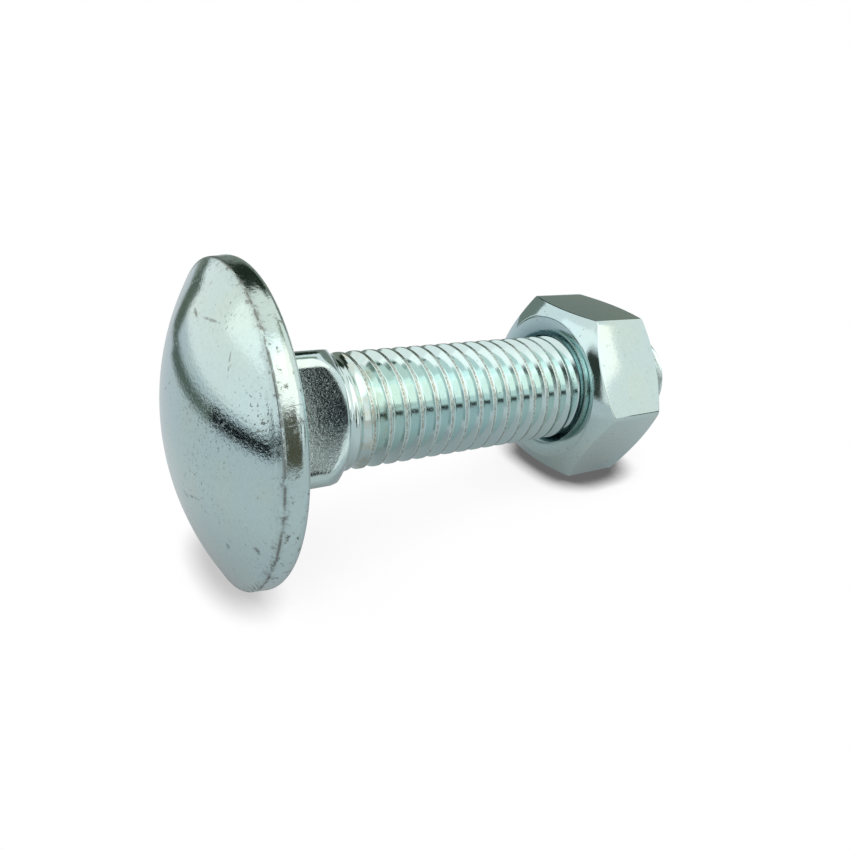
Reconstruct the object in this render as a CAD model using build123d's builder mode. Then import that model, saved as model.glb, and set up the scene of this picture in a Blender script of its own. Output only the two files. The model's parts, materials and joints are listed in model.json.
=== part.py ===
# Cup head bolt with a square neck and its hexagon nut, lying at rest on the rim of the head
# and on one flat of the nut. Millimetres, +Z up, the origin under the middle of the whole.
from math import asin, atan2, cos, degrees, hypot, radians, sin, tan
import os

from build123d import *

# Shank. The thread is M12 with a pitch of 1.75, a little under 12 across after plating
shank_diameter = 11.85
bolt_length = 50.6  # from under the head to the tip
tip_chamfer = 1.2

# Head
head_diameter = 30.6
head_height = 6.8
rim_height = 2.3  # height of the band below the crease
crease_inset = 0.15  # radial, from the rim to the circle where the dome ends
rim_round = 0.9  # round between the band and the seat

# Square neck, with its corners cut by a cone at the thread end
neck_allowance = 0.65  # how much wider the neck is than the shank
neck_length = 7.7
neck_corner_radius = 1.4
neck_cone_angle = 41  # between the cone's side and a plane across the bolt
neck_turn = -20  # about the bolt's axis, from one side flat on the ground
neck_root_radius = 0.5

# Nut
nut_width = 18.8  # across the flats
nut_thickness = 9.7
nut_place = 35.6  # from under the head to the nut's bearing face
nut_chamfer_width = 1.1  # radial, from the edge of the flat ring to the middle of a flat
nut_chamfer_angle = 30
thread_clearance = 0.05  # radial gap between the shank and the nut's bore
countersink_width = 0.625  # radial
countersink_angle = 30  # from the nut's face

shank_radius = shank_diameter / 2
head_radius = head_diameter / 2
bore_radius = shank_radius + thread_clearance
neck_width = shank_diameter + neck_allowance

# The dome is one arc through the apex and the crease
dome_rise = head_height - rim_height
crease_radius = head_radius - crease_inset
dome_radius = (crease_radius**2 + dome_rise**2) / (2 * dome_rise)

# At rest the floor touches the round of the rim and the far edge of the nut's lower flat
chamfer_slope = tan(radians(nut_chamfer_angle))
flat_inset = nut_chamfer_width * chamfer_slope
flat_end = nut_place + nut_thickness - flat_inset
lever = flat_end + rim_round
drop = nut_width / 2 - (head_radius - rim_round)
rest_tilt = asin(rim_round / hypot(lever, drop)) - atan2(drop, lever)
seat_height = flat_end * sin(rest_tilt) + nut_width / 2 * cos(rest_tilt)

# The origin is midway between the dome's foremost point and the tip
dome_reach = (dome_radius - head_height) * cos(rest_tilt) - dome_radius
tip_reach = bolt_length * cos(rest_tilt) + (shank_radius - tip_chamfer) * sin(rest_tilt)
seat_x = -(dome_reach + tip_reach) / 2

# Along is the plane through the bolt's axis, X towards the tip and Y away from the axis.
# Across is the plane under the head, with its Z towards the tip.
axis_direction = (cos(rest_tilt), 0, -sin(rest_tilt))
seat_centre = (seat_x, 0, seat_height)
along = Plane(origin=seat_centre, x_dir=axis_direction, z_dir=(0, -1, 0))
across = Plane(origin=seat_centre, x_dir=(0, 1, 0), z_dir=axis_direction)
bolt_axis = Axis(seat_centre, axis_direction)

# Bolt, forged in one piece: head, square neck and shank
with BuildPart() as bolt:
    with BuildSketch(along):
        with BuildLine():
            apex = (-head_height, 0)
            crease = (-rim_height, crease_radius)
            band_end = (-rim_round, head_radius)
            seat_edge = (0, head_radius - rim_round)
            RadiusArc(apex, crease, dome_radius)
            Line(crease, band_end)
            RadiusArc(band_end, seat_edge, rim_round)
            Polyline(seat_edge, (0, 0), apex)
        make_face()
    revolve(axis=bolt_axis)

    with BuildSketch(across):
        RectangleRounded(neck_width, neck_width, neck_corner_radius, rotation=neck_turn)
    extrude(amount=neck_length)
    neck_root = bolt.edges(Select.LAST).group_by(bolt_axis)[0]
    fillet(neck_root, neck_root_radius)

    with BuildSketch(along):
        with BuildLine():
            cone_start = rim_height  # the cutter stays this far clear of the seat
            cone_rise = (neck_length - cone_start) / tan(radians(neck_cone_angle))
            cutter_radius = shank_radius + cone_rise
            Polyline(
                (neck_length, shank_radius),
                (cone_start, cutter_radius),
                (neck_length, cutter_radius),
                (neck_length, shank_radius),
            )
        make_face()
    revolve(axis=bolt_axis, mode=Mode.SUBTRACT)

    with BuildSketch(across):
        Circle(shank_radius)
    extrude(amount=bolt_length)
    tip_edge = bolt.edges().filter_by(GeomType.CIRCLE).sort_by(bolt_axis)[-1]
    chamfer(tip_edge, length=tip_chamfer)

# Nut, a hexagon bar cut by the section that is turned on it: bore, countersinks and the cones
# of both chamfers, which run on outside the hexagon to meet over its middle
with BuildPart() as nut:
    with BuildSketch(across.offset(nut_place)):
        RegularPolygon(radius=nut_width / 2, side_count=6, major_radius=False)
    extrude(amount=nut_thickness)
    with BuildSketch(along):
        with BuildLine():
            face_radius = nut_width / 2 - nut_chamfer_width
            mouth_radius = bore_radius + countersink_width
            mouth_depth = countersink_width * tan(radians(countersink_angle))
            ridge_radius = face_radius + nut_thickness / 2 / chamfer_slope
            nut_end = nut_place + nut_thickness
            Polyline(
                (nut_place, mouth_radius),
                (nut_place, face_radius),
                (nut_place + nut_thickness / 2, ridge_radius),
                (nut_end, face_radius),
                (nut_end, mouth_radius),
                (nut_end - mouth_depth, bore_radius),
                (nut_place + mouth_depth, bore_radius),
                (nut_place, mouth_radius),
            )
        make_face()
    revolve(axis=bolt_axis, mode=Mode.INTERSECT)

bolt.part.label = "bolt"
nut.part.label = "nut"

os.makedirs("parts", exist_ok=True)
export_step(bolt.part, "parts/bolt.step")
export_step(nut.part, "parts/nut.step")

print("axis tilt", round(degrees(rest_tilt), 4), "degrees")
print("seat centre", [round(v, 4) for v in seat_centre])
print("axis", [round(v, 6) for v in axis_direction])
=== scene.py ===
# Cup head bolt with a square neck and its hexagon nut, zinc plated
import json
from math import cos, pi, radians, sin, tan

import bmesh
import bpy
import numpy as np
from mathutils import Euler, Matrix, Vector


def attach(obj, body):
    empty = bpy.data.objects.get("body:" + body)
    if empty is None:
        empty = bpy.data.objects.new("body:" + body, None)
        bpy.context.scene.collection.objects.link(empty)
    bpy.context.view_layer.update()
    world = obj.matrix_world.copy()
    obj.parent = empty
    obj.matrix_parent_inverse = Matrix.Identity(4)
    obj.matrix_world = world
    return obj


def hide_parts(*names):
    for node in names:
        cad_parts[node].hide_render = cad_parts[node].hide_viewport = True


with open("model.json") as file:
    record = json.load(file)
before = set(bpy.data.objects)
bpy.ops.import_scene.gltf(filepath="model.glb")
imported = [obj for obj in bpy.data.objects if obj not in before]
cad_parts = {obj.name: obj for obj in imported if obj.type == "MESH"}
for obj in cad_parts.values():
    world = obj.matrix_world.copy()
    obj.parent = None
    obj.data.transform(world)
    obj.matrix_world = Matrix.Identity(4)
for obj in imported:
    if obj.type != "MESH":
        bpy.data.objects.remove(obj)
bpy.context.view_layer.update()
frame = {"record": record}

scene = bpy.context.scene
mm = 0.001
weldGap = 0.002  # millimetres, as all sizes here that have no other unit
fullTurn = 2 * pi


# nodes: a socket that takes Python arithmetic, and one method that makes any node
class Sock:
    def __init__(self, tree, out):
        self.tree = tree
        self.out = out

    def output(self, name):
        # another output of the same node
        return Sock(self.tree, self.out.node.outputs[name])

    def calc(self, operation, *values):
        return self.tree.node("ShaderNodeMath", {"operation": operation}, values)

    def __add__(self, other):
        return self.calc("ADD", self, other)

    def __sub__(self, other):
        return self.calc("SUBTRACT", self, other)

    def __rsub__(self, other):
        return self.calc("SUBTRACT", other, self)

    def __mul__(self, other):
        return self.calc("MULTIPLY", self, other)

    def __truediv__(self, other):
        return self.calc("DIVIDE", self, other)

    def __abs__(self):
        return self.calc("ABSOLUTE", self)

    __radd__ = __add__
    __rmul__ = __mul__

    def sine(self):
        return self.calc("SINE", self)

    def cosine(self):
        return self.calc("COSINE", self)

    def least(self, other):
        return self.calc("MINIMUM", self, other)

    def most(self, other):
        return self.calc("MAXIMUM", self, other)

    def ramp(self, low, high, start=0.0, end=1.0):
        # the value's run from low to high becomes start to end, and is held beyond them
        return self.tree.node("ShaderNodeMapRange", {"clamp": True}, {
            "Value": self, "From Min": low, "From Max": high, "To Min": start, "To Max": end,
        })


class Tree:
    def __init__(self, nodeTree):
        self.nodes = nodeTree.nodes
        self.links = nodeTree.links

    def node(self, kind, settings=None, inputs=None, out=0):
        made = self.nodes.new(kind)
        for key, value in (settings or {}).items():
            setattr(made, key, value)
        given = inputs.items() if isinstance(inputs, dict) else enumerate(inputs or [])
        for key, value in given:
            self.feed(made.inputs[key], value)
        return Sock(self, made.outputs[out]) if made.outputs else None

    def feed(self, socket, value):
        if isinstance(value, Sock):
            self.links.new(value.out, socket)
        elif socket.type == "RGBA":
            socket.default_value = (*value, 1)
        else:
            socket.default_value = value

    def mixColour(self, share, first, second):
        # inputs 0, 6 and 7 and output 2 are those of the node's colour form
        settings = {"data_type": "RGBA", "clamp_factor": True}
        return self.node("ShaderNodeMix", settings, {0: share, 6: first, 7: second}, 2)

    def mask(self, name):
        return self.node("ShaderNodeAttribute", {"attribute_name": name}).output("Fac")

    def rayKinds(self):
        # the camera's own rays, and those that metal or glass sends on
        path = self.node("ShaderNodeLightPath")
        mirrored = path.output("Is Glossy Ray").most(path.output("Is Transmission Ray"))
        return path.output("Is Camera Ray"), mirrored


def newMaterial(name):
    material = bpy.data.materials.new(name)
    material.use_nodes = True
    tree = Tree(material.node_tree)
    tree.nodes.clear()
    return material, tree


# the camera: place in millimetres, turn in degrees, lens in millimetres, shift in picture widths
cameraView = {
    "place": (-41.895, -65.868, 48.725),
    "turn": (63.747, -0.8294, -33.2543),
    "lens": 33.912,
    "sensor": 36,
    "shift": (-0.042118, -0.011412),
    "nearest": 0.001,  # metres, as is the next
    "farthest": 10,
}


def makeCamera(v):
    data = bpy.data.cameras.new("camera")
    data.sensor_width = v["sensor"]
    data.lens = v["lens"]
    data.shift_x, data.shift_y = v["shift"]
    data.clip_start = v["nearest"]
    data.clip_end = v["farthest"]
    camera = bpy.data.objects.new("camera", data)
    turn = Euler([radians(angle) for angle in v["turn"]])
    camera.matrix_world = Matrix.Translation(Vector(v["place"]) * mm) @ turn.to_matrix().to_4x4()
    scene.collection.objects.link(camera)
    scene.camera = camera


makeCamera(cameraView)
print("camera ready")


# meshes are made in the bolt's own frame, in millimetres: X from the head's underside to the tip,
# Z across the axis. A ring has a place on the axis and a radius, each one value or one per angle.
def ringMesh(name, rings, angles, startPole=None, endPole=None):
    count = len(angles)
    verts = []
    for place, radius in rings:
        place, radius = np.broadcast_to(place, count), np.broadcast_to(radius, count)
        verts.append(np.stack([place, radius * np.cos(angles), radius * np.sin(angles)], 1))
    verts = np.concatenate(verts).tolist()
    step = np.arange(count)
    after = (step + 1) % count
    faces = []
    for i in range(len(rings) - 1):
        a, b = i * count, (i + 1) * count
        faces += np.stack([a + step, b + step, b + after, a + after], 1).tolist()
    lastRing = (len(rings) - 1) * count
    if startPole is not None:
        faces += [(len(verts), int(j), int(k)) for j, k in zip(step, after)]
        verts.append((startPole, 0, 0))
    if endPole is not None:
        faces += [(len(verts), lastRing + int(k), lastRing + int(j)) for j, k in zip(step, after)]
        verts.append((endPole, 0, 0))
    mesh = bpy.data.meshes.new(name)
    mesh.from_pydata(verts, [], faces)
    mesh.update()
    return mesh


def joinMeshes(name, parts):
    # welds the parts into one closed mesh, drops what collapsed and turns all faces outward
    bm = bmesh.new()
    for part in parts:
        bm.from_mesh(part)
    bmesh.ops.remove_doubles(bm, verts=bm.verts, dist=weldGap)
    bmesh.ops.dissolve_degenerate(bm, edges=bm.edges, dist=weldGap / 2)
    loose = [v for v in bm.verts if not v.link_faces]
    bmesh.ops.delete(bm, geom=loose, context="VERTS")
    bmesh.ops.recalc_face_normals(bm, faces=bm.faces)
    openEdges = sum(1 for e in bm.edges if len(e.link_faces) != 2)
    print(name, "open edges", openEdges, "faces", len(bm.faces))
    mesh = bpy.data.meshes.new(name)
    bm.to_mesh(mesh)
    bm.free()
    for face in mesh.polygons:
        face.use_smooth = True
    return mesh


def axialPoints(mesh):
    # each point's place on the axis, radius and angle
    flat = np.empty(len(mesh.vertices) * 3)
    mesh.vertices.foreach_get("co", flat)
    points = flat.reshape(-1, 3)
    return points[:, 0], np.hypot(points[:, 1], points[:, 2]), np.arctan2(points[:, 2], points[:, 1])


def setMask(mesh, name, values):
    layer = mesh.attributes.new(name, "FLOAT", "POINT")
    layer.data.foreach_set("value", np.asarray(values, dtype=np.float32))


def addPiece(mesh, material, node, body):
    # moves the mesh to where the bolt lies, and puts it in place of its CAD node
    mesh.transform(boltFrame)
    mesh.materials.clear()
    mesh.materials.append(material)
    obj = bpy.data.objects.new(mesh.name, mesh)
    scene.collection.objects.link(obj)
    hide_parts(node)
    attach(obj, body)


# the thread: a strip one pitch wide, wound on a helix by Geometry Nodes and trimmed at both ends
threadForm = {
    "pitch": 1.75,
    "firstCrest": 11.2529,  # where a crest passes the angle zero
    "crestFlat": 0.34,
    "rootFlat": 0.16,
    "ripplePitch": 0.95,  # of the rings in the run-out
    "rippleHeight": 0.07,
    "unevenScale": 1.7,  # of the noise on the crests
    "seed": 7,
}
# rows of the strip from root to crest in shares of a pitch, closer together at the edges of both flats
threadRise = (0, 0.035, 0.05, 0.09, 0.22, 0.35, 0.385, 0.403, 0.42, 0.46)
threadRows = (*threadRise, 0.5, *(1 - row for row in reversed(threadRise)))
threadInputs = (
    "Pitch", "First Crest", "Crest Radius", "Root Radius", "Crest Flat", "Root Flat", "Side",
    "Start", "End", "Mouth Radius", "Mouth Slope", "Start Mouth", "Run Out", "Run Out Radius",
    "Ripple Pitch", "Ripple Height", "Uneven Scale", "Roughness",
)


def threadTree():
    group = bpy.data.node_groups.new("windThread", "GeometryNodeTree")
    sockets = [("Geometry", "Geometry"), ("Seed", "Int"), ("Material", "Material")]
    sockets += [(name, "Float") for name in threadInputs]
    for name, kind in sockets:
        group.interface.new_socket(name, in_out="INPUT", socket_type="NodeSocket" + kind)
    group.interface.new_socket("Geometry", in_out="OUTPUT", socket_type="NodeSocketGeometry")
    tree = Tree(group)
    source = tree.node("NodeGroupInput")
    given = {name: source.output(name) for name, kind in sockets}
    pitch, side, start, end = given["Pitch"], given["Side"], given["Start"], given["End"]

    # the strip's X counts turns and its Y runs across one pitch
    strip = tree.node("ShaderNodeSeparateXYZ", None, [tree.node("GeometryNodeInputPosition")])
    turns, phase = strip.output("X"), strip.output("Y")
    place = (turns + phase - 0.5) * pitch + given["First Crest"]
    held = place.most(start).least(end)
    angle = turns * fullTurn

    # flank: 0 on the crest, 1 in the root
    fromCrest = abs(phase - 0.5) * pitch - given["Crest Flat"] * 0.5
    flankRun = (pitch - given["Crest Flat"] - given["Root Flat"]) * 0.5
    flank = (fromCrest / flankRun).most(0).least(1)
    depth = (given["Crest Radius"] - given["Root Radius"]) * flank

    # the thread rises out of the plain shank over the run-out
    grown = ((held - start) / given["Run Out"]).most(0).least(1)
    grown = grown * grown * (3 - 2 * grown)
    ripple = ((held - start) * fullTurn / given["Ripple Pitch"]).sine() * given["Ripple Height"]
    runOutWall = given["Run Out Radius"] + ripple * (1 - grown)
    radius = (given["Crest Radius"] - depth) * grown + runOutWall * (1 - grown)

    # crests are slightly uneven, and the noise goes round the shank without a seam
    around = [held, angle.cosine() * given["Crest Radius"], angle.sine() * given["Crest Radius"]]
    noise = tree.node("ShaderNodeTexNoise", {"noise_dimensions": "4D"}, {
        "Vector": tree.node("ShaderNodeCombineXYZ", None, around),
        "Scale": given["Uneven Scale"], "Detail": 3.0, "W": given["Seed"],
    })
    radius = radius + (noise - 0.5) * given["Roughness"] * (1 - flank) * grown

    # cones trim both ends
    toEnd = end - held
    toStart = held - start + given["Start Mouth"]
    cone = side * given["Mouth Radius"] + toEnd.least(toStart) * given["Mouth Slope"]
    radius = side * (side * radius).least(cone)
    spot = tree.node("ShaderNodeCombineXYZ", None, [held, radius * angle.cosine(), radius * angle.sine()])
    moved = tree.node("GeometryNodeSetPosition", None, {"Geometry": given["Geometry"], "Position": spot})
    welded = tree.node("GeometryNodeMergeByDistance", None, {"Geometry": moved, "Distance": weldGap})
    real = tree.node("GeometryNodeRealizeInstances", None, {"Geometry": welded})
    coated = tree.node("GeometryNodeSetMaterial", None, {"Geometry": real, "Material": given["Material"]})
    tree.node("NodeGroupOutput", None, [coated])
    return group


def stripMesh(name, columns, firstTurn, lastTurn):
    along = np.arange(firstTurn * columns, lastTurn * columns + 1) / columns
    turns, rows = np.meshgrid(along, threadRows, indexing="ij")
    verts = np.stack([turns.ravel(), rows.ravel(), np.zeros(turns.size)], 1)
    width = len(threadRows)
    i, j = np.meshgrid(np.arange(len(along) - 1), np.arange(width - 1), indexing="ij")
    corner = (i * width + j).ravel()
    faces = np.stack([corner, corner + width, corner + width + 1, corner + 1], 1)
    mesh = bpy.data.meshes.new(name)
    mesh.from_pydata(verts.tolist(), [], faces.tolist())
    return mesh


def windThread(name, columns, start, end, material, sizes):
    form = threadForm
    firstTurn = int((start - form["firstCrest"]) / form["pitch"]) - 2
    lastTurn = int((end - form["firstCrest"]) / form["pitch"]) + 2
    obj = bpy.data.objects.new(name + "Strip", stripMesh(name + "Strip", columns, firstTurn, lastTurn))
    scene.collection.objects.link(obj)
    wind = obj.modifiers.new("wind", "NODES")
    wind.node_group = threadGroup
    values = {
        "Pitch": form["pitch"], "First Crest": form["firstCrest"],
        "Crest Flat": form["crestFlat"], "Root Flat": form["rootFlat"],
        "Ripple Pitch": form["ripplePitch"], "Ripple Height": form["rippleHeight"],
        "Uneven Scale": form["unevenScale"], "Seed": form["seed"],
        "Start": start, "End": end, "Material": material, **sizes,
    }
    for item in threadGroup.interface.items_tree:
        if item.in_out == "INPUT" and item.name in values:
            value = values[item.name]
            wind[item.identifier] = float(value) if item.socket_type == "NodeSocketFloat" else value
    depsgraph = bpy.context.evaluated_depsgraph_get()
    mesh = bpy.data.meshes.new_from_object(obj.evaluated_get(depsgraph))
    obj.modifiers.remove(wind)
    bpy.data.objects.remove(obj)
    print(name, "wound, faces", len(mesh.polygons))
    return mesh


threadGroup = threadTree()

# zinc plating, what wear and handling did to it, and painted shade in the nut's mouths
zincLook = {
    "colour": (0.58, 0.73, 0.71),
    "warm": (0.62, 0.72, 0.60),
    "cool": (0.50, 0.69, 0.77),
    "dull": (0.36, 0.44, 0.43),
    "bright": (0.69, 0.85, 0.82),
    "grime": (0.10, 0.09, 0.07),
    # painted shade for the nut's countersinks and the thread inside
    "paintedMouthShade": (0.07, 0.17, 0.20),
    "rust": (0.33, 0.27, 0.17),
    "stain": (0.58, 0.50, 0.34),
    "wornCrest": (0.32, 0.32, 0.23),
    "roughness": 0.06,
    "bumpStrength": 0.12,
    "bumpDepth": 0.03 * mm,
    # single marks on the head: middle (y, z) and half lengths in millimetres, turn in degrees
    "marks": (
        ((-0.2, 26.4), (0.9, 0.22), 15),
        ((-3.2, 26.6), (1.5, 0.16), -6),
        ((-2.7, 11.1), (0.9, 0.16), 12),
        ((-4.6, 11.6), (1.3, 0.18), -14),
        ((-6.1, 11.2), (0.5, 0.22), 40),
        ((-8.6, 8.5), (0.28, 0.4), 20),
        ((-12.2, 9.7), (0.4, 0.5), -20),
        ((-7.6, 24.4), (1.4, 0.10), 70),
    ),
    "pitted": ((-6.2, 18.2), (5.5, 4.2), 20),  # the region with most pits
}


def zincMaterial(name, look, hasHead=False, hasMouths=False):
    material, tree = newMaterial(name)
    toMillimetres = (1 / mm, 1 / mm, 1 / mm)
    spot = tree.node("ShaderNodeMapping", None, {
        "Vector": tree.node("ShaderNodeTexCoord").output("Object"), "Scale": toMillimetres,
    })

    def noise(scale, detail=3.0, rough=0.55, vector=spot):
        values = {"Vector": vector, "Scale": scale, "Detail": detail, "Roughness": rough}
        return tree.node("ShaderNodeTexNoise", None, values)

    broad = noise(0.09, 2.0)
    cloud = noise(0.35, 4.0)
    mottle = noise(2.6, 4.0, 0.7).ramp(0.42, 0.66)
    pits = noise(2.6, 2.0, 0.6).ramp(0.70, 0.76)
    colour = tree.mixColour(broad.ramp(0.35, 0.65), look["cool"], look["warm"])
    colour = tree.mixColour(0.65, colour, look["colour"])
    colour = tree.mixColour(cloud.ramp(0.55, 0.8) * 0.25, colour, look["warm"])
    colour = tree.mixColour(mottle * 0.16, colour, look["dull"])
    colour = tree.mixColour(pits * 0.5, colour, look["grime"])
    rough = look["roughness"] + cloud.ramp(0.3, 0.8) * 0.05 + pits * 0.3
    height = noise(9.0, 3.0, 0.7) * 0.25 + noise(3.4, 2.0) * 0.75 - pits * 0.8
    if hasHead:
        head, neck, rimBand, thread = (tree.mask(part) for part in ("head", "neck", "rimBand", "thread"))
        place = tree.node("ShaderNodeSeparateXYZ", None, [spot])
        y, z = place.output("Y"), place.output("Z")

        def ellipse(middle, half, turn):
            # 1 inside, fading to 0 at the edge
            c, s = cos(radians(turn)), sin(radians(turn))
            along = ((y - middle[0]) * c + (z - middle[1]) * s) / half[0]
            across = ((z - middle[1]) * c - (y - middle[0]) * s) / half[1]
            return (along * along + across * across).ramp(0.2, 1.0, 1.0, 0.0)

        # long fine scratches in some places, single marks and a pitted region
        turned = tree.node("ShaderNodeMapping", None, {
            "Vector": spot, "Rotation": (0.4, 0.9, 0.3), "Scale": (0.15, 2.4, 2.4),
        })
        scratched = noise(0.22, 1.0).ramp(0.52, 0.62)
        scratches = noise(1.6, 1.0, 0.4, turned).ramp(0.66, 0.70) * scratched
        marks = ellipse(*look["marks"][0])
        for mark in look["marks"][1:]:
            marks = marks.most(ellipse(*mark))
        marks = marks * noise(2.4, 4.0, 0.7).ramp(0.40, 0.52)
        scatter = ellipse(*look["pitted"]) * noise(3.1, 3.0, 0.65).ramp(0.60, 0.68)
        scratches = (scratches + marks).most(scatter * 0.9) * head

        # the crease between dome and rim is worn, its burr most of all
        crease = tree.mask("crease") * noise(1.4, 4.0, 0.7).ramp(0.52, 0.60)
        burr = tree.mask("creaseLine") * noise(0.8, 4.0, 0.7).ramp(0.38, 0.52)
        rimSpecks = rimBand * noise(1.3, 4.0, 0.7).ramp(0.60, 0.66) * 0.8
        wornRim = crease.most(burr).most(rimSpecks)
        rust = noise(1.1, 3.0, 0.6).ramp(0.68, 0.74) * head
        frost = noise(8.0, 2.0, 0.6).ramp(0.50, 0.76) * neck
        colour = tree.mixColour(scratches * 0.55, colour, look["grime"])
        colour = tree.mixColour(wornRim * 0.8, colour, look["grime"])
        colour = tree.mixColour(rust * 0.45, colour, look["rust"])
        rough = rough + scratches * 0.2 + wornRim * 0.35 + rust * 0.25 + frost * 0.17 + rimBand * 0.05
        height = height * (1 + head * 2.2 + neck * 1.0 + rimBand * 1.5)
        height = height - scratches * 1.5 - wornRim * 2.0 - rust * 1.2

        # the thread is bright, with a stain on its run-out and rough, speckled crests
        crest = tree.mask("crest")
        wornCrest = crest * noise(4.0, 4.0, 0.75).ramp(0.42, 0.58, 0.1, 1.0)
        stain = tree.mask("runOut") * noise(0.9, 2.0).ramp(0.45, 0.7)
        colour = tree.mixColour(thread * 0.6, colour, look["bright"])
        colour = tree.mixColour(stain * 0.6, colour, look["stain"])
        colour = tree.mixColour(wornCrest * 0.9, colour, look["wornCrest"])
        rough = rough + crest * 0.2 + thread * 0.04
        height = height - wornCrest * 4.0
    if hasMouths:
        # painted shade darkens the countersinks and the thread inside
        mouth = tree.mask("mouth")
        colour = tree.mixColour(mouth * 0.9, colour, look["paintedMouthShade"])
        rough = rough + mouth * 0.22
    bump = tree.node("ShaderNodeBump", None, {
        "Strength": look["bumpStrength"], "Distance": look["bumpDepth"], "Height": height,
    })
    shader = tree.node("ShaderNodeBsdfPrincipled", None, {
        "Base Color": colour, "Metallic": 1.0, "Roughness": rough, "Normal": bump,
    })
    tree.node("ShaderNodeOutputMaterial", None, {"Surface": shader})
    return material


boltZinc = zincMaterial("boltZinc", zincLook, hasHead=True)
nutZinc = zincMaterial("nutZinc", zincLook, hasMouths=True)
print("materials ready")

# the bolt: head, square neck and threaded shank, one forged piece
boltSizes = {
    "columns": 160,
    "headRadius": 15.3,
    "headHeight": 6.8,
    "rimHeight": 2.3,
    "creaseRadius": 15.15,
    "domeRings": 34,
    "rimRound": 0.9,
    "neckWidth": 12.5,
    "neckCorner": 1.4,
    "neckTurn": -20,
    "neckLength": 7.7,
    "neckRoot": 0.5,
    "bowStart": 2.5,  # where the neck's rounded end begins
    "bowRise": 2.7,  # how far it stands above the shank there
    "shankRadius": 5.9,
    "runOutStep": 0.05,  # the run-out's wall is this much thinner
    "threadRoot": 4.95,
    "crestUneven": 0.03,
    "length": 50.6,
    "tipRadius": 4.7,
    "runOut": 4.0,
    # the burr on the crease: height, waves round the rim and where they begin
    "burrWaves": ((0.04, 3, 1), (0.03, 7, 0), (0.01, 17, 2)),
    # rings of the crease: step along, step out and share of the burr
    "creaseRings": ((-0.10, -0.11, 0.3), (-0.04, -0.03, 0.4), (0.04, 0.01, 0.4), (0.14, 0.03, 0.2)),
}


# where each kind of wear lies on the bolt
boltWear = {
    "crestHalf": 0.16,  # worn this far to each side of a crest's middle
    "crestFade": 0.05,
    "crestsFrom": 1.5,  # past the neck
    "creaseReach": 0.5,
    "burrReach": 0.14,
    "stainFrom": 2.3,  # past the neck
    "stainReach": 1.2,
    "neckFlats": (0.3, 7.1),
    "rimBand": (-2.2, -0.1),
}


def layBolt(neckLength):
    # the record's square_neck mount is halfway along the neck, on the axis
    record = frame["record"]
    axis = Vector(record["behaviour"]["joints"][0]["axis"]).normalized()
    up = axis.cross(Vector((0, 1, 0))).normalized()
    neckMiddle = next(Vector(m["pos_m"]) for m in record["mounts"] if m["name"] == "square_neck")
    seat = neckMiddle - axis * neckLength * mm / 2
    turn = Matrix((axis, (0, 1, 0), up)).transposed().to_4x4()
    return Matrix.Translation(seat) @ turn @ Matrix.Scale(mm, 4)


def squareRadius(angles, width, corner, turn):
    # distance from the axis to a square with rounded corners
    out = []
    half, inner = width / 2, width / 2 - corner
    for angle in angles - radians(turn):
        x, y = abs(cos(angle)), abs(sin(angle))
        radius = half / max(x, y)
        if radius * min(x, y) > inner:
            # on the corner's arc, centred at (inner, inner)
            b = inner * (x + y)
            radius = b + (b * b - 2 * inner * inner + corner * corner) ** 0.5
        out.append(radius)
    return np.array(out)


def headRings(v, angles):
    # dome from its apex outwards
    crease, rim, top = v["creaseRadius"], v["rimHeight"], v["headRadius"]
    rise = v["headHeight"] - rim
    domeRadius = (crease ** 2 + rise ** 2) / (2 * rise)
    domeMiddle = domeRadius - v["headHeight"]
    rings = []
    for share in np.linspace(0.02, 0.985, v["domeRings"]):
        radius = share * crease
        rings.append((domeMiddle - (domeRadius ** 2 - radius ** 2) ** 0.5, radius))

    # crease, a rolled edge with a slight burr that comes and goes round the rim
    burr = sum(size * np.sin(waves * angles + begin) for size, waves, begin in v["burrWaves"])
    for along, outward, share in v["creaseRings"]:
        rings.append((-rim + along, crease + outward + share * burr))

    # band, its round, and the flat underside in to the neck
    rounded = v["rimRound"]
    for step in (0.45, 0.8, 1.1):
        rings.append((-rim + step, crease + (top - crease) * step / (rim - rounded)))
    for turn in np.linspace(0, pi / 2, 8):
        rings.append((-rounded + rounded * sin(turn), top - rounded + rounded * cos(turn)))
    return rings


def neckRings(v, angles):
    neck = squareRadius(angles, v["neckWidth"], v["neckCorner"], v["neckTurn"])
    root, shank = v["neckRoot"], v["shankRadius"]
    edge = v["headRadius"] - v["rimRound"]
    rings = []
    for share in (0.2, 0.5, 0.8):
        rings.append((0, edge * (1 - share) + (neck + root) * share))
    for turn in np.linspace(0, pi / 2, 5):
        rings.append((root - root * cos(turn), neck + root - root * sin(turn)))

    # the neck's end is one round form that cuts the square, so each flat ends in an arc
    bowStart, bowRise = v["bowStart"], v["bowRise"]
    bowRun = v["neckLength"] - bowStart
    flatEnd = bowStart + bowRun * np.sqrt(1 - ((neck - shank) / bowRise) ** 2)
    for share in np.linspace(0.15, 0.97, 8):
        rings.append((root + (flatEnd - root) * share, neck))
    start = np.arcsin((flatEnd - bowStart) / bowRun)
    for share in (0.05, 0.15, 0.3, 0.45, 0.6, 0.75, 0.88):
        turn = start + (pi / 2 - start) * share
        rings.append((bowStart + bowRun * np.sin(turn), shank + bowRise * np.cos(turn)))
    rings.append((v["neckLength"], shank - v["runOutStep"]))
    return rings


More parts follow.
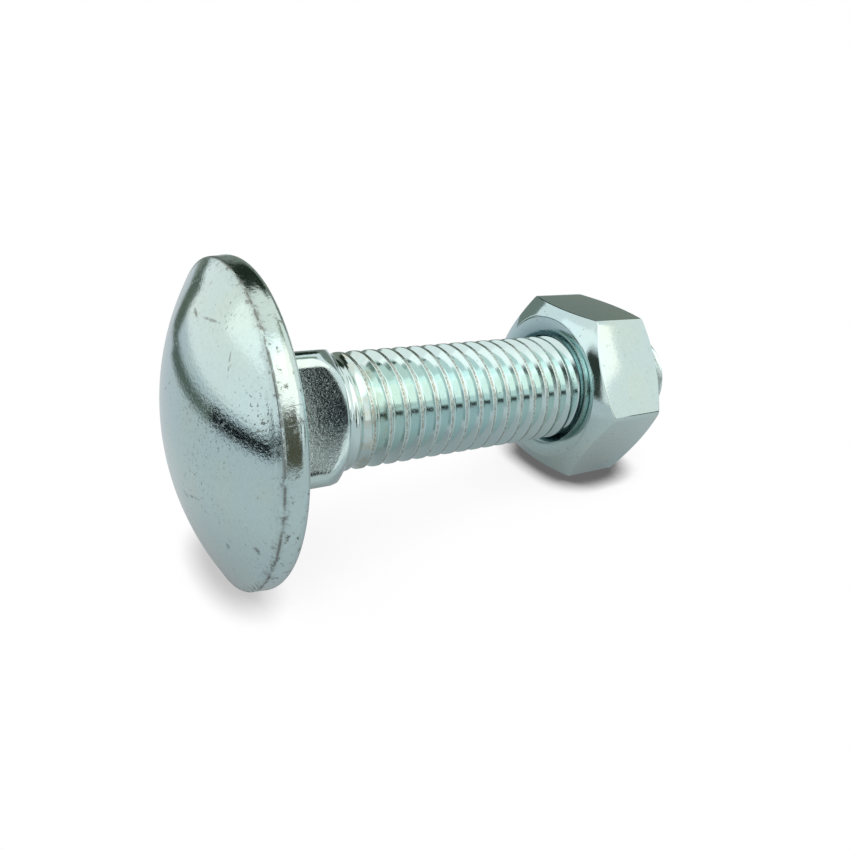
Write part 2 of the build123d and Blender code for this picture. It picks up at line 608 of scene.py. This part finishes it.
def markBolt(mesh, v, wear):
    place, radius, angle = axialPoints(mesh)
    pitch, neckEnd = threadForm["pitch"], v["neckLength"]
    phase = (place - threadForm["firstCrest"]) / pitch - angle / fullTurn
    fromCrest = np.abs(phase - np.round(phase)) * pitch
    fromCrease = np.abs(place + v["rimHeight"])
    onDome = place < -v["rimRound"]
    crest = np.clip((wear["crestHalf"] - fromCrest) / wear["crestFade"], 0, 1)
    stain = np.abs(place - neckEnd - wear["stainFrom"]) / wear["stainReach"]
    setMask(mesh, "crest", crest * (place > neckEnd + wear["crestsFrom"]))
    setMask(mesh, "head", place < 0)
    setMask(mesh, "crease", np.clip(1 - fromCrease / wear["creaseReach"], 0, 1) * onDome)
    setMask(mesh, "creaseLine", np.clip(1.2 - fromCrease / wear["burrReach"], 0, 1) * onDome)
    setMask(mesh, "neck", (place > wear["neckFlats"][0]) & (place < wear["neckFlats"][1]))
    setMask(mesh, "thread", place > neckEnd)
    setMask(mesh, "runOut", np.clip(1.5 - stain, 0, 1))
    setMask(mesh, "rimBand", (place > wear["rimBand"][0]) & (place < wear["rimBand"][1]))


def makeBolt(v, material):
    angles = np.arange(v["columns"]) * fullTurn / v["columns"]
    rings = headRings(v, angles) + neckRings(v, angles)
    head = ringMesh("head", rings, angles, startPole=-v["headHeight"])
    thread = windThread("shankThread", v["columns"], v["neckLength"], v["length"], material, {
        "Crest Radius": v["shankRadius"], "Root Radius": v["threadRoot"],
        "Side": 1,  # crests point away from the axis
        "Mouth Radius": v["tipRadius"], "Mouth Slope": 1,
        "Start Mouth": 100,  # no cone at the neck
        "Run Out": v["runOut"], "Run Out Radius": v["shankRadius"] - v["runOutStep"],
        "Roughness": v["crestUneven"],
    })
    tipRings = [(v["length"], v["tipRadius"]), (v["length"], v["tipRadius"] / 2)]
    tip = ringMesh("tip", tipRings, angles, endPole=v["length"])
    mesh = joinMeshes("squareNeckBolt", [head, thread, tip])
    markBolt(mesh, v, boltWear)
    return mesh


boltFrame = layBolt(boltSizes["neckLength"])
addPiece(makeBolt(boltSizes, boltZinc), boltZinc, "bolt", "bolt")
print("bolt made")

# the nut: hexagon with a chamfer at both ends, countersunk and threaded inside
nutSizes = {
    "columns": 240,
    "width": 18.8,
    "cornerRound": 0.3,
    "place": 35.6,
    "thickness": 9.7,
    "faceRadius": 8.3,
    "chamferAngle": 30,
    "mouthRadius": 6.6,
    "mouthAngle": 30,
    "threadCrest": 5.12,
    "threadRoot": 6.02,
    "crestUneven": 0.01,
    "edgeRound": 0.12,
}


def hexRadius(angles, width, corner):
    # distance from the axis to a hexagon with a flat below and rounded corners
    out = []
    half, sector = width / 2, pi / 3
    reach = (half - corner) / cos(sector / 2)
    for angle in angles:
        fromCorner = abs((angle + sector / 2) % sector - sector / 2)
        radius = half / cos(sector / 2 - fromCorner)
        if radius * sin(fromCorner) < corner / 2:
            radius = reach * cos(fromCorner) + (corner ** 2 - (reach * sin(fromCorner)) ** 2) ** 0.5
        out.append(radius)
    return np.array(out)


def roundedRun(points, rounds, steps=4):
    # rounds the corners of a run of (place, radius) rings, all angles at once
    out = []
    for i, point in enumerate(points):
        if not rounds[i]:
            out.append(point)
            continue
        back, ahead = points[i - 1] - point, points[i + 1] - point
        backLength, aheadLength = np.hypot(*back), np.hypot(*ahead)
        cut = np.minimum(rounds[i], 0.45 * np.minimum(backLength, aheadLength))
        start, end = point + back / backLength * cut, point + ahead / aheadLength * cut
        for k in range(steps + 1):
            share = k / steps
            out.append(start * (1 - share) ** 2 + point * 2 * share * (1 - share) + end * share ** 2)
    return out


def makeNut(v, material):
    angles = np.arange(v["columns"]) * fullTurn / v["columns"]
    wall = hexRadius(angles, v["width"], v["cornerRound"])
    drop = (wall - v["faceRadius"]) * tan(radians(v["chamferAngle"]))
    start, end = v["place"], v["place"] + v["thickness"]
    flat = np.zeros(len(angles))
    corners = [
        (start, v["mouthRadius"]), (start, v["faceRadius"]), (start + drop, wall),
        (end - drop, wall), (end, v["faceRadius"]), (end, v["mouthRadius"]),
    ]
    corners = [np.stack([place + flat, radius + flat]) for place, radius in corners]
    edge = v["edgeRound"]
    rounds = (0, edge * 1.5, edge, edge, edge * 1.5, 0)
    shell = ringMesh("nutShell", [tuple(ring) for ring in roundedRun(corners, rounds)], angles)
    thread = windThread("nutThread", v["columns"], start, end, material, {
        "Crest Radius": v["threadRoot"], "Root Radius": v["threadCrest"],
        "Side": -1,  # crests point towards the axis
        "Mouth Radius": v["mouthRadius"], "Start Mouth": 0,
        "Mouth Slope": 1 / tan(radians(v["mouthAngle"])),
        "Run Out": weldGap / 2,  # the thread is full from the nut's face on
        "Run Out Radius": v["threadRoot"], "Roughness": v["crestUneven"],
    })
    mesh = joinMeshes("hexagonNut", [shell, thread])
    radius = axialPoints(mesh)[1]
    # where painted shade darkens the countersinks and the thread inside
    setMask(mesh, "mouth", np.clip((v["mouthRadius"] + 0.05 - radius) / 0.1, 0, 1))
    return mesh


addPiece(makeNut(nutSizes, nutZinc), nutZinc, "nut", "nut")
print("nut made")

# the studio: white floor and background, soft lamps, dark cards that the metal mirrors
studio = {
    "floorWidth": 3.0,  # metres
    "floorPaint": (0.7, 0.7, 0.7),
    "floorInMetal": (0.61, 0.64, 0.67),
    "skyInMetal": 1.0,
    "ambient": 0.75,
    "contactReach": 0.004,  # metres
    "shadowReach": 0.025,
    # how open the floor is to the sky, low and high, and the shade there
    "contactShade": (0.45, 0.82, 1.0, 0.0),
    "wideShade": (0.3, 0.6, 0.9, 1.0),
    "shadeInMetal": (0.2, 0.95, 0.4, 1.0),
    "underHead": 0.4,  # how dark the contact shadow is there
    "underNut": 0.85,
}
# cards: azimuths and elevations that they fill, distance, colour, and what they are bent round.
# The soft ones fade out towards their edges.
middle = (0, 0, 15)
domeMiddle = (-26, 0, 16)
tipMiddle = (28, 0, 10)
hardCards = {
    "backCard": ((22, 104), (-7, 24), 400, (0.23, 0.26, 0.23), middle),
    "backTopCard": ((38, 97), (24, 58), 400, (0.02, 0.03, 0.02), middle),
    "topCard": ((-24, 8), (52, 66), 400, (0.33, 0.37, 0.29), middle),
    "tipCard": ((-55, -28), (-5, 6), 110, (0.17, 0.20, 0.17), tipMiddle),
    "lowFrontCard": ((-92, -68), (-4, 7), 400, (0.01, 0.012, 0.014), middle),
    "leftCard": ((146, 184), (-7.5, -1), 110, (0.008, 0.01, 0.011), domeMiddle),
    "farLeftCard": ((104, 146), (-7.5, -2), 110, (0.12, 0.15, 0.13), domeMiddle),
    "edgeCard": ((94, 106), (-6, 11), 110, (0.12, 0.15, 0.12), domeMiddle),
}
softCards = {
    "frontCard": ((-70, -57), (5.5, 21), 400, (0.01, 0.013, 0.016), middle),
    "rimCard": ((-88, -69), (-13, 32), 110, (0.10, 0.09, 0.06), domeMiddle),
    "farCard": ((174, 203), (-6, 37), 400, (0.04, 0.05, 0.04), middle),
}
# lamps: azimuth, elevation, distance, size, watts and colour
lamps = {
    "overheadLamp": (-120, 65, 500, (500, 400), 0.35, (1, 1, 1)),
    "leftLamp": (165, 30, 600, (600, 250), 0.12, (1, 1, 1)),
    "frontLamp": (-60, 42, 600, (460, 440), 0.38, (1.0, 0.78, 0.64)),
}


def direction(azimuth, elevation):
    a, e = radians(azimuth), radians(elevation)
    return Vector((cos(e) * cos(a), cos(e) * sin(a), sin(e)))


def makeWorld(v):
    world = bpy.data.worlds.new("studio")
    scene.world = world
    world.use_nodes = True
    tree = Tree(world.node_tree)
    tree.nodes.clear()
    seen, mirrored = tree.rayKinds()
    strength = seen + (1 - seen) * (mirrored * v["skyInMetal"] + (1 - mirrored) * v["ambient"])
    sky = tree.node("ShaderNodeBackground", None, {"Color": (1, 1, 1), "Strength": strength})
    tree.node("ShaderNodeOutputWorld", None, {"Surface": sky})


def makeFloor(v):
    material, tree = newMaterial("floor")
    seen, mirrored = tree.rayKinds()

    def openness(reach):
        occlusion = tree.node("ShaderNodeAmbientOcclusion", {"samples": 16}, {"Distance": reach})
        return occlusion.output("AO")

    # the contact shadow is darker under the nut than under the head
    contact = openness(v["contactReach"]).ramp(*v["contactShade"])
    wide = openness(v["shadowReach"])
    place = tree.node("ShaderNodeSeparateXYZ", None, [tree.node("ShaderNodeTexCoord").output("Object")])
    darkest = place.output("X").ramp(-0.01, 0.008, v["underHead"], v["underNut"])
    shade = (1 - contact * darkest) * wide.ramp(*v["wideShade"])
    shadeInMetal = wide.ramp(*v["shadeInMetal"])
    colour = tree.mixColour(seen, v["floorInMetal"], (1, 1, 1))
    glow = tree.node("ShaderNodeEmission", None, {
        "Color": colour, "Strength": shade * seen + (1 - seen) * shadeInMetal,
    })
    plain = tree.node("ShaderNodeBsdfDiffuse", None, {"Color": v["floorPaint"]})
    both = tree.node("ShaderNodeMixShader", None, [seen.most(mirrored), plain, glow])
    tree.node("ShaderNodeOutputMaterial", None, {"Surface": both})
    reach = v["floorWidth"] / 2
    mesh = bpy.data.meshes.new("floor")
    corners = [(-reach, -reach, 0), (reach, -reach, 0), (reach, reach, 0), (-reach, reach, 0)]
    mesh.from_pydata(corners, [], [(0, 1, 2, 3)])
    mesh.materials.append(material)
    floor = bpy.data.objects.new("floor", mesh)
    scene.collection.objects.link(floor)


def makeCard(name, azimuths, elevations, distance, colour, centre, soft):
    # a sheet bent round its centre, which only mirrors see
    columns, rows = 13, 7
    verts = []
    for azimuth in np.linspace(*azimuths, columns):
        for elevation in np.linspace(*elevations, rows):
            verts.append((Vector(centre) + distance * direction(azimuth, elevation)) * mm)
    faces = []
    for i in range(columns - 1):
        for k in range(i * rows, i * rows + rows - 1):
            faces.append((k, k + rows, k + rows + 1, k + 1))
    mesh = bpy.data.meshes.new(name)
    mesh.from_pydata(verts, [], faces)
    material, tree = newMaterial(name)
    glow = tree.node("ShaderNodeEmission", None, {"Color": colour, "Strength": 1.0})
    if soft:
        # fades out over the outer sixth of its width and height
        inward = [1 - abs(np.linspace(-1, 1, count)) for count in (columns, rows)]
        setMask(mesh, "fade", np.clip(3 * np.minimum.outer(*inward).ravel(), 0, 1))
        clear = tree.node("ShaderNodeBsdfTransparent")
        glow = tree.node("ShaderNodeMixShader", None, [tree.mask("fade"), clear, glow])
    tree.node("ShaderNodeOutputMaterial", None, {"Surface": glow})
    mesh.materials.append(material)
    card = bpy.data.objects.new(name, mesh)
    scene.collection.objects.link(card)
    card.visible_camera = card.visible_shadow = card.visible_diffuse = False


def makeLamp(name, azimuth, elevation, distance, size, watts, colour):
    data = bpy.data.lights.new(name, "AREA")
    data.shape = "RECTANGLE"
    data.size, data.size_y = size[0] * mm, size[1] * mm
    data.energy = watts
    data.color = colour
    lamp = bpy.data.objects.new(name, data)
    scene.collection.objects.link(lamp)
    place = direction(azimuth, elevation) * distance * mm
    lamp.location = place
    lamp.rotation_euler = place.to_track_quat("Z", "Y").to_euler()
    lamp.visible_camera = False


makeWorld(studio)
makeFloor(studio)
for name, card in hardCards.items():
    makeCard(name, *card, soft=False)
for name, card in softCards.items():
    makeCard(name, *card, soft=True)
for name, lamp in lamps.items():
    makeLamp(name, *lamp)

scene.view_settings.view_transform = "Standard"
print("scene ready")
